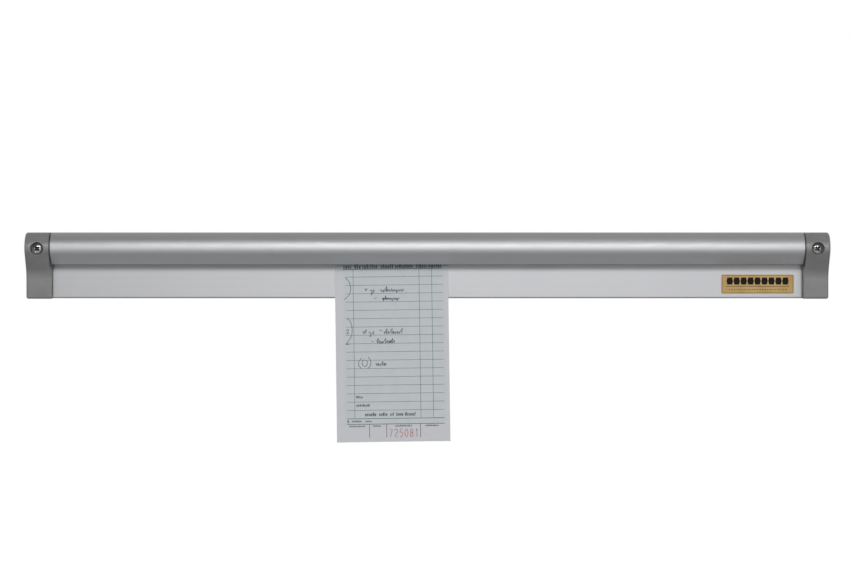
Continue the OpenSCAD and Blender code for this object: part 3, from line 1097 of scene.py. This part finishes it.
smallPrint = {
    "seed": 11,
    "blockWidth": (0.35, 0.9),
    "widthShare": 0.6,
    "tall": 0.4,                 # share of blocks that reach the full height
    "lowShare": 0.72,            # height of the others
    "gap": 0.14,
    "headerStart": 1.4,          # left of the rules
    "headerRise": 0.5,
    "headerWords": (8.5, 6.0, 14.0, 11.0, 16.0, 9.0, 11.2),
    "wordGap": 0.8,
    "words": (                   # left, right, low and high of each
        (15.0, 20.6, 33.4, 35.3), (15.0, 25.2, 27.0, 28.9), (8.2, 10.4, 14.6, 16.9),
        (11.6, 19.0, 15.1, 16.5), (22.0, 27.2, 15.1, 16.5), (9.6, 21.8, 11.5, 12.8),
        (27.4, 33.8, 11.5, 12.8), (44.2, 57.6, 11.5, 12.8), (67.4, 77.8, 11.5, 12.8)),
    "slanted": ((21.4, 31.0), (32.2, 39.4), (40.6, 43.8), (45.0, 50.6), (51.8, 60.4)),
    "slantedHeights": (19.7, 22.3),
    "slant": 0.25,
}


# A word's worth of short plain blocks, which stands for small print
def greekedWord(bm, rng, left, right, low, high, slant=0.0):
    s = smallPrint
    u, height = left, high - low
    while u < right:
        width = rng.uniform(*s["blockWidth"]) * height * s["widthShare"]
        if u + width > right:
            break
        top = high if rng.random() < s["tall"] else low + height * s["lowShare"]
        straight(bm, (u + width / 2, low), (u + width / 2 + slant * (top - low), top), width)
        u += width + height * s["gap"]


def makePrintedLines(material):
    bm = bmesh.new()
    p = slipPrint
    for i in range(p["rules"]):
        v = p["ruleStart"] + i * p["rulePitch"]
        straight(bm, (p["left"], v), (p["right"], v), p["heavyWidth"] if i == 0 else p["ruleWidth"])
    straight(bm, (p["left"], p["stubLine"]), (p["right"], p["stubLine"]), p["heavyWidth"])
    straight(bm, (p["left"] - p["headerOut"], p["headerLow"]), (p["right"] - p["headerIn"], p["headerLow"]),
             p["heavyWidth"])
    for u in p["columnsAt"]:
        straight(bm, (u, p["ruleStart"] + p["columnStart"]), (u, p["headerLow"]), p["columnWidth"])
    for u in p["stubDividers"]:
        straight(bm, (u, p["numberLow"]), (u, p["stubLine"]), p["columnWidth"] * p["dividerShare"])
    slipPiece("slipRules", bm, material)


def makeSmallPrint(material):
    bm = bmesh.new()
    p, s = slipPrint, smallPrint
    rng = random.Random(s["seed"])
    start = p["left"] - s["headerStart"]
    for length in s["headerWords"]:
        greekedWord(bm, rng, start, start + length - s["wordGap"],
                    p["headerLow"] + s["headerRise"], p["headerHigh"])
        start += length
    for word in s["words"]:
        greekedWord(bm, rng, *word)
    for left, right in s["slanted"]:
        greekedWord(bm, rng, left, right, *s["slantedHeights"], s["slant"])
    slipPiece("slipSmallPrint", bm, material)


# Points along part of an oval
def ovalLine(u, v, across, up, start, end, count=14):
    spots = []
    for i in range(count + 1):
        angle = math.radians(start + (end - start) * i / count)
        spots.append((u + across * math.cos(angle), v + up * math.sin(angle)))
    return spots


# Plain figures drawn as single lines in a box 1 wide and this high
figureHeight = 2.2
figures = {
    "0": [ovalLine(0.5, 1.1, 0.42, 1.0, 90, 446)],
    "1": [[(0.22, 1.72), (0.52, 2.1), (0.52, 0.1)]],
    "2": [ovalLine(0.5, 1.58, 0.4, 0.52, 165, -25) + [(0.1, 0.1), (0.92, 0.1)]],
    "5": [[(0.86, 2.1), (0.2, 2.1), (0.14, 1.22)] + ovalLine(0.48, 0.72, 0.42, 0.62, 112, -145)],
    "7": [[(0.08, 2.1), (0.9, 2.1), (0.38, 0.1)]],
    "8": [ovalLine(0.5, 1.6, 0.35, 0.48, -90, 266), ovalLine(0.5, 0.6, 0.42, 0.52, 90, 446)],
}


def makeNumber(material):
    bm = bmesh.new()
    p = slipPrint
    for i, figure in enumerate(p["number"]):
        for line in figures[figure]:
            spots = [(p["numberLeft"] + i * p["digitPitch"] + u * p["digitWidth"],
                      p["numberLow"] + v * p["digitHeight"] / figureHeight) for u, v in line]
            inkLine(bm, spots, p["digitLine"])
    slipPiece("slipNumber", bm, material)


def makePerforation(material):
    bm = bmesh.new()
    p = slipPrint
    count = int(slip["width"] / mm / p["slitPitch"])
    for i in range(count):
        u = (i + 0.5) * p["slitPitch"]
        straight(bm, (u - p["slit"] / 2, p["perforation"]), (u + p["slit"] / 2, p["perforation"]),
                 p["slitWidth"])
    slipPiece("slipPerforation", bm, material)


# Smooth line through a few points
def flowing(points, steps=6):
    points = [Vector(p) for p in points]
    points = [points[0] * 2 - points[1]] + points + [points[-1] * 2 - points[-2]]
    line = []
    for a, b, c, d in zip(points, points[1:], points[2:], points[3:]):
        for i in range(steps):
            t = i / steps
            line.append(0.5 * (2 * b + (c - a) * t + (2 * a - 5 * b + 4 * c - d) * t * t
                               + (3 * b - a - 3 * c + d) * t ** 3))
    return line + [points[-2]]


penMarks = {
    "seed": 5,
    "width": 0.44,
    "start": 0.4,                # height where a wave starts, as a share like those below
    "steps": (0.34, 0.72),
    "peaks": (0.42, 0.5, 0.6, 0.75, 1.3),
    "dips": (0.0, 0.05, 0.1, 0.1, 0.55),
    "peakAt": 0.45,
    "dipAt": 0.8,
    "lean": 0.3,
    "smooth": 5,
    "waves": (                   # left, right, level and height of each
        (26.5, 29.5, 113.6, 3.4), (34.0, 37.5, 114.2, 3.2), (38.4, 51.5, 114.6, 2.6),
        (35.6, 48.0, 108.4, 2.2), (20.4, 22.6, 82.6, 2.4), (25.0, 29.4, 82.0, 3.6),
        (36.5, 49.0, 82.4, 3.0), (31.0, 45.0, 75.2, 2.8), (30.0, 38.0, 58.2, 2.4)),
    "dashes": (((29.6, 109.4), (31.8, 109.7)), ((27.2, 76.4), (28.8, 76.6)), ((33.4, 84.8), (35.4, 85.0)),
               ((22.6, 117.0), (24.4, 115.4)), ((22.8, 115.2), (24.6, 117.0))),
    "brackets": (
        ((8.0, 125.4), (10.6, 122.6), (11.9, 118.4), (11.2, 113.2), (8.6, 110.0), (6.8, 108.6)),
        ((8.8, 94.8), (11.4, 91.6), (12.6, 87.0), (12.2, 81.4), (9.8, 77.2), (7.8, 74.6), (11.2, 74.9)),
        ((8.0, 84.6), (9.4, 86.0), (9.9, 84.4), (8.4, 82.6), (10.2, 82.8)),
        ((19.6, 64.0), (17.6, 61.6), (17.4, 58.4), (19.2, 56.0)),
        ((24.6, 64.6), (26.4, 61.8), (26.2, 58.2), (24.0, 55.8))),
    "ring": (21.9, 60.2, 2.0, 2.6, 100, 420, 20),
}


# Peaks and dips of uneven height that read as quick handwriting and spell nothing
def penWave(rng, left, right, level, height):
    p = penMarks
    spots, u = [(left, level + p["start"] * height)], left
    while u < right:
        step = height * rng.uniform(*p["steps"])
        tall = height * rng.choice(p["peaks"])
        dip = height * rng.choice(p["dips"])
        spots += [(u + step * p["peakAt"] + p["lean"] * tall, level + tall),
                  (u + step * p["dipAt"] - p["lean"] * dip, level - dip)]
        u += step
    return flowing(spots, p["smooth"])


def makePenMarks(material):
    bm = bmesh.new()
    rng = random.Random(penMarks["seed"])
    for wave in penMarks["waves"]:
        inkLine(bm, penWave(rng, *wave), penMarks["width"])
    for start, end in penMarks["dashes"]:
        inkLine(bm, [start, end], penMarks["width"])
    for bracket in penMarks["brackets"]:
        inkLine(bm, flowing(bracket), penMarks["width"])
    inkLine(bm, ovalLine(*penMarks["ring"]), penMarks["width"])
    slipPiece("slipPenMarks", bm, material)


slipInks = {                     # full and faded colour of each
    "ruleInk": ((0.075, 0.105, 0.108), (0.14, 0.18, 0.18)),
    "smallPrintInk": ((0.085, 0.105, 0.11), (0.15, 0.18, 0.185)),
    "numberInk": ((0.41, 0.11, 0.13), (0.51, 0.23, 0.26)),
    "perforationShade": ((0.33, 0.33, 0.37), (0.42, 0.42, 0.46)),
    "penInk": ((0.045, 0.052, 0.062), (0.13, 0.14, 0.155)),
}
tintBox = {"left": slipPrint["tintLeft"] * mm, "right": slipPrint["tintRight"] * mm,
           "low": slipPrint["stubLine"] * mm}
makeSheet(makePaper(tintBox))
for makeMarks, inkName in ((makePrintedLines, "ruleInk"), (makeSmallPrint, "smallPrintInk"),
                           (makeNumber, "numberInk"), (makePerforation, "perforationShade"),
                           (makePenMarks, "penInk")):
    makeMarks(makeInk(inkName, *slipInks[inkName]))
print("slip: sheet, rules, small print, number, perforation and pen marks")

# Glass balls keep their own meshes and get a faintly green glass
glassMaterial = makeGlass()
balls = [node for name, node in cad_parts.items() if name.startswith("glass_ball_")]
for ball in balls:
    ball.material_slots[0].material = glassMaterial
print("balls:", len(balls), "in glass")

# Studio: a long softbox high in front, a broad fill, a pale floor and a plain world
studio = {
    "softbox": {"place": (0.01, -1.58, 0.75), "aim": (0.01, 0, 0), "size": (1.0, 0.20), "power": 3.8},
    "fill": {"place": (0.25, -2.73, 0.99), "aim": (0.25, 0, 0), "size": (2.6, 1.4), "power": 46.0},
    "reflector": {"place": (-0.60, -0.50, -0.36), "aim": (-0.29, 0, 0), "size": (0.14, 0.11), "power": 0.10},
    "backFill": {"place": (0, 2.4, 1.1), "aim": (0, 0, 0), "size": (3.0, 1.6), "power": 60.0},
    "ambient": 0.30,
    "floorLevel": -0.45,
    "floorHalf": 2.6,
    "floorSeen": (0.54, 0.54, 0.54),       # by the camera
    "floorLit": (0.280, 0.280, 0.285),     # by the light that bounces off it, beneath the rail
    "floorAhead": (0.450, 0.450, 0.455),   # and further in front
    "aheadFrom": (-0.9, -0.2),
    "floorGlow": 0.62,
}


def areaLight(name, seenInGloss=True):
    given = studio[name]
    data = bpy.data.lights.new(name, "AREA")
    data.shape = "RECTANGLE"
    data.size, data.size_y = given["size"]
    data.energy = given["power"]
    lamp = bpy.data.objects.new(name, data)
    lamp.location = given["place"]
    lamp.rotation_euler = (Vector(given["aim"]) - lamp.location).to_track_quat("-Z", "Y").to_euler()
    lamp.visible_glossy = seenInGloss
    scene.collection.objects.link(lamp)


# What gloss and glass see: a pale front, darker above, below and behind
reflected = {
    "front": ((-1.0, 0.25), (-0.5, 0.28), (-0.2, 0.40), (-0.08, 0.66), (0.0, 0.86), (0.25, 0.72),
              (0.42, 0.55), (0.55, 0.33), (0.70, 0.17), (0.86, 0.18), (1.0, 0.30)),
    "behind": ((-1.0, 0.30), (-0.3, 0.55), (0.2, 0.68), (0.5, 0.50), (0.75, 0.32), (1.0, 0.30)),
    "leftShare": 0.44,
    "leftEdge": -0.32,
    "rightEdge": 0.06,
    "farLeft": (-1.8, -0.8),
    "farShare": 0.6,
    "sides": 0.05,               # least share forward, so that the sides stay finite
    "turn": (-0.35, 0.3),        # from behind to the front
    "blue": 1.01,
}


def heightRamp(tree, height, stops):
    ramp = addNode(tree, "ShaderNodeValToRGB", {0: height})
    elements = ramp.color_ramp.elements
    while len(elements) < len(stops):
        elements.new(0.5)
    for element, (place, level) in zip(elements, stops):
        element.position, element.color = (place + 1) / 2, (level, level, level * reflected["blue"], 1)
    return ramp.outputs[0]


def makeWorld():
    world = bpy.data.worlds.new("studioWorld")
    world.use_nodes = True
    scene.world = world
    tree = world.node_tree
    tree.nodes.clear()
    spot = addNode(tree, "ShaderNodeTexCoord")
    parts = addNode(tree, "ShaderNodeSeparateXYZ", {0: spot.outputs["Generated"]})
    height = mathNode(tree, "MULTIPLY_ADD", parts.outputs[2], 0.5, 0.5)
    forward = mathNode(tree, "MULTIPLY", parts.outputs[1], -1.0)
    sideways = mathNode(tree, "DIVIDE", parts.outputs[0],
                        mathNode(tree, "MAXIMUM", forward, reflected["sides"]))
    fall = rangeNode(tree, sideways, reflected["leftEdge"], reflected["rightEdge"],
                     reflected["leftShare"], 1.0)
    rise = rangeNode(tree, sideways, *reflected["farLeft"], reflected["farShare"], 0.0)
    ahead = heightRamp(tree, height, reflected["front"])
    front = addNode(tree, "ShaderNodeVectorMath", {0: ahead}, operation="SCALE")
    tree.links.new(mathNode(tree, "ADD", fall, rise), front.inputs["Scale"])
    behind = heightRamp(tree, height, reflected["behind"])
    isFront = rangeNode(tree, forward, *reflected["turn"], 0.0, 1.0)
    seen = mixColour(tree, isFront, behind, front.outputs[0])
    path = addNode(tree, "ShaderNodeLightPath")
    glossy = mathNode(tree, "MAXIMUM", path.outputs["Is Glossy Ray"], path.outputs["Is Transmission Ray"])
    plain = mixColour(tree, glossy, (studio["ambient"],) * 3, seen)
    final = mixColour(tree, path.outputs["Is Camera Ray"], plain, (1.0, 1.0, 1.0))
    background = addNode(tree, "ShaderNodeBackground", {"Color": final})
    output = addNode(tree, "ShaderNodeOutputWorld")
    tree.links.new(background.outputs[0], output.inputs[0])


def makeFloor():
    half = studio["floorHalf"]
    bm = bmesh.new()
    bm.faces.new([bm.verts.new((x * half, y * half, studio["floorLevel"]))
                  for x, y in ((-1, -1), (1, -1), (1, 1), (-1, 1))])
    mesh = bpy.data.meshes.new("floor")
    bm.to_mesh(mesh)
    bm.free()
    floor = bpy.data.objects.new("floor", mesh)
    scene.collection.objects.link(floor)
    material, tree, shader = newMaterial("paleFloor", Roughness=0.9)
    seen = addNode(tree, "ShaderNodeLightPath").outputs["Is Camera Ray"]
    ahead = rangeNode(tree, objectPlace(tree)[1], *studio["aheadFrom"], 1.0, 0.0)
    lit = mixColour(tree, ahead, studio["floorLit"], studio["floorAhead"])
    feed(tree, shader, "Base Color", mixColour(tree, seen, lit, studio["floorSeen"]))
    glowing = mathNode(tree, "MULTIPLY", seen, studio["floorGlow"])
    glow = addNode(tree, "ShaderNodeEmission", {"Strength": glowing})
    both = addNode(tree, "ShaderNodeAddShader", {0: shader.outputs[0], 1: glow.outputs[0]})
    underneath = addNode(tree, "ShaderNodeMixShader", {
        0: addNode(tree, "ShaderNodeNewGeometry").outputs["Backfacing"], 1: both.outputs[0],
        2: addNode(tree, "ShaderNodeBsdfTransparent").outputs[0]})
    tree.links.new(underneath.outputs[0], tree.nodes["Material Output"].inputs[0])
    mesh.materials.append(material)


areaLight("softbox")
areaLight("reflector")
areaLight("fill", seenInGloss=False)
areaLight("backFill", seenInGloss=False)
makeWorld()
makeFloor()
print("studio: softbox, fills, world and floor")
